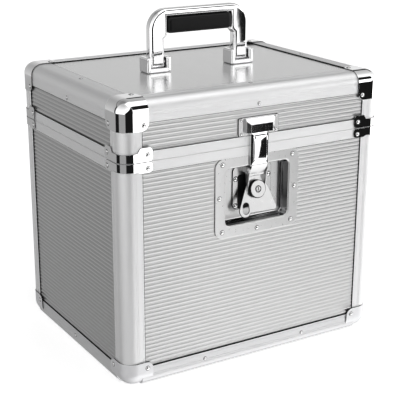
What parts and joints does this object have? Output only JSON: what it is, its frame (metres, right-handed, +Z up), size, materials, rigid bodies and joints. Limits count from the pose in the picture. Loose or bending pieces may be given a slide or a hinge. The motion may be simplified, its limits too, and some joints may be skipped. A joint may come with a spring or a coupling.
{
  "type": "record carrying case",
  "caption": "Upright box for records with ribbed aluminium faces, a hinged lid with a folding handle, a recessed keyed draw latch and ball corners.",
  "frame": {"origin": "middle of the footprint of the whole object, latch and hinge counted, on the plane the ball corners stand on", "axes": "+Z up, the front with the latch looks along -Y, +X to the right as seen from the front"},
  "size_m": [0.368, 0.3018, 0.4254],
  "materials": {
    "ribbed_board": "plywood faced with ribbed aluminium laminate",
    "brushed_board": "plywood faced with brushed aluminium sheet",
    "satin_extrusion": "satin anodised extrusion",
    "zinc_pressing": "bright zinc plated steel pressing",
    "bright_chrome": "polished chrome plate",
    "nickel_plate": "nickel plated steel",
    "zinc_steel": "zinc plated steel",
    "black_grip": "black moulded grip, satin"
  },
  "bodies": {
    "case": {"bottom_panel": "ribbed_board", "body_panel_front": "ribbed_board", "body_panel_back": "ribbed_board", "body_panel_left": "ribbed_board", "body_panel_right": "ribbed_board", "body_post_front_left": "satin_extrusion", "body_post_front_right": "satin_extrusion", "body_post_back_left": "satin_extrusion", "body_post_back_right": "satin_extrusion", "bottom_edge_front": "satin_extrusion", "bottom_edge_back": "satin_extrusion", "bottom_edge_left": "satin_extrusion", "bottom_edge_right": "satin_extrusion", "body_rim": "satin_extrusion", "ball_corner_front_left": "zinc_pressing", "ball_corner_front_right": "zinc_pressing", "ball_corner_back_left": "zinc_pressing", "ball_corner_back_right": "zinc_pressing", "body_clip_front_left": "bright_chrome", "body_clip_front_right": "bright_chrome", "body_clip_back_left": "bright_chrome", "body_clip_back_right": "bright_chrome", "latch_dish": "nickel_plate", "latch_base": "nickel_plate", "hinge_body_leaf": "zinc_steel", "hinge_pin": "zinc_steel"},
    "lid": {"lid_panel_top": "brushed_board", "lid_panel_front": "ribbed_board", "lid_panel_back": "ribbed_board", "lid_panel_left": "ribbed_board", "lid_panel_right": "ribbed_board", "lid_edge_front": "satin_extrusion", "lid_edge_back": "satin_extrusion", "lid_edge_left": "satin_extrusion", "lid_edge_right": "satin_extrusion", "lid_post_front_left": "satin_extrusion", "lid_post_front_right": "satin_extrusion", "lid_post_back_left": "satin_extrusion", "lid_post_back_right": "satin_extrusion", "lid_rim": "satin_extrusion", "lid_corner_front_left": "bright_chrome", "lid_corner_front_right": "bright_chrome", "lid_corner_back_left": "bright_chrome", "lid_corner_back_right": "bright_chrome", "lid_clip_front_left": "bright_chrome", "lid_clip_front_right": "bright_chrome", "lid_clip_back_left": "bright_chrome", "lid_clip_back_right": "bright_chrome", "latch_keeper": "bright_chrome", "handle_bracket_left": "bright_chrome", "handle_bracket_right": "bright_chrome", "hinge_lid_leaf": "zinc_steel"},
    "handle": {"handle_bow": "bright_chrome", "handle_grip": "black_grip"},
    "lever": {"latch_lever": "nickel_plate", "lock_case": "bright_chrome", "arm_pin": "nickel_plate"},
    "arm": {"latch_arm": "bright_chrome"},
    "lock": {"lock_plug": "bright_chrome"}
  },
  "joints": [
    {"name": "lid_hinge", "type": "hinge", "parent": "case", "child": "lid", "pos_m": [0, 0.1424, 0.2781], "axis": [-1, 0, 0], "range_deg": [0, 105]},
    {"name": "lever_swing", "type": "hinge", "parent": "case", "child": "lever", "pos_m": [0, -0.1419, 0.2475], "axis": [-1, 0, 0], "range_deg": [0, 100]},
    {"name": "arm_swing", "type": "hinge", "parent": "lever", "child": "arm", "pos_m": [0, -0.1389, 0.2405], "axis": [-1, 0, 0], "range_deg": [-105, 0]},
    {"name": "lock_turn", "type": "hinge", "parent": "lever", "child": "lock", "pos_m": [0, -0.14621, 0.22308], "axis": [0, -0.9848, 0.1736], "range_deg": [0, 90]},
    {"name": "handle_fold", "type": "hinge", "parent": "lid", "child": "handle", "pos_m": [0, -0.00215, 0.3589], "axis": [1, 0, 0], "range_deg": [-75, 75]}
  ],
  "couplings": [
    {"joint": "arm_swing", "follows": "lever_swing", "ratio": -1.05}
  ]
}
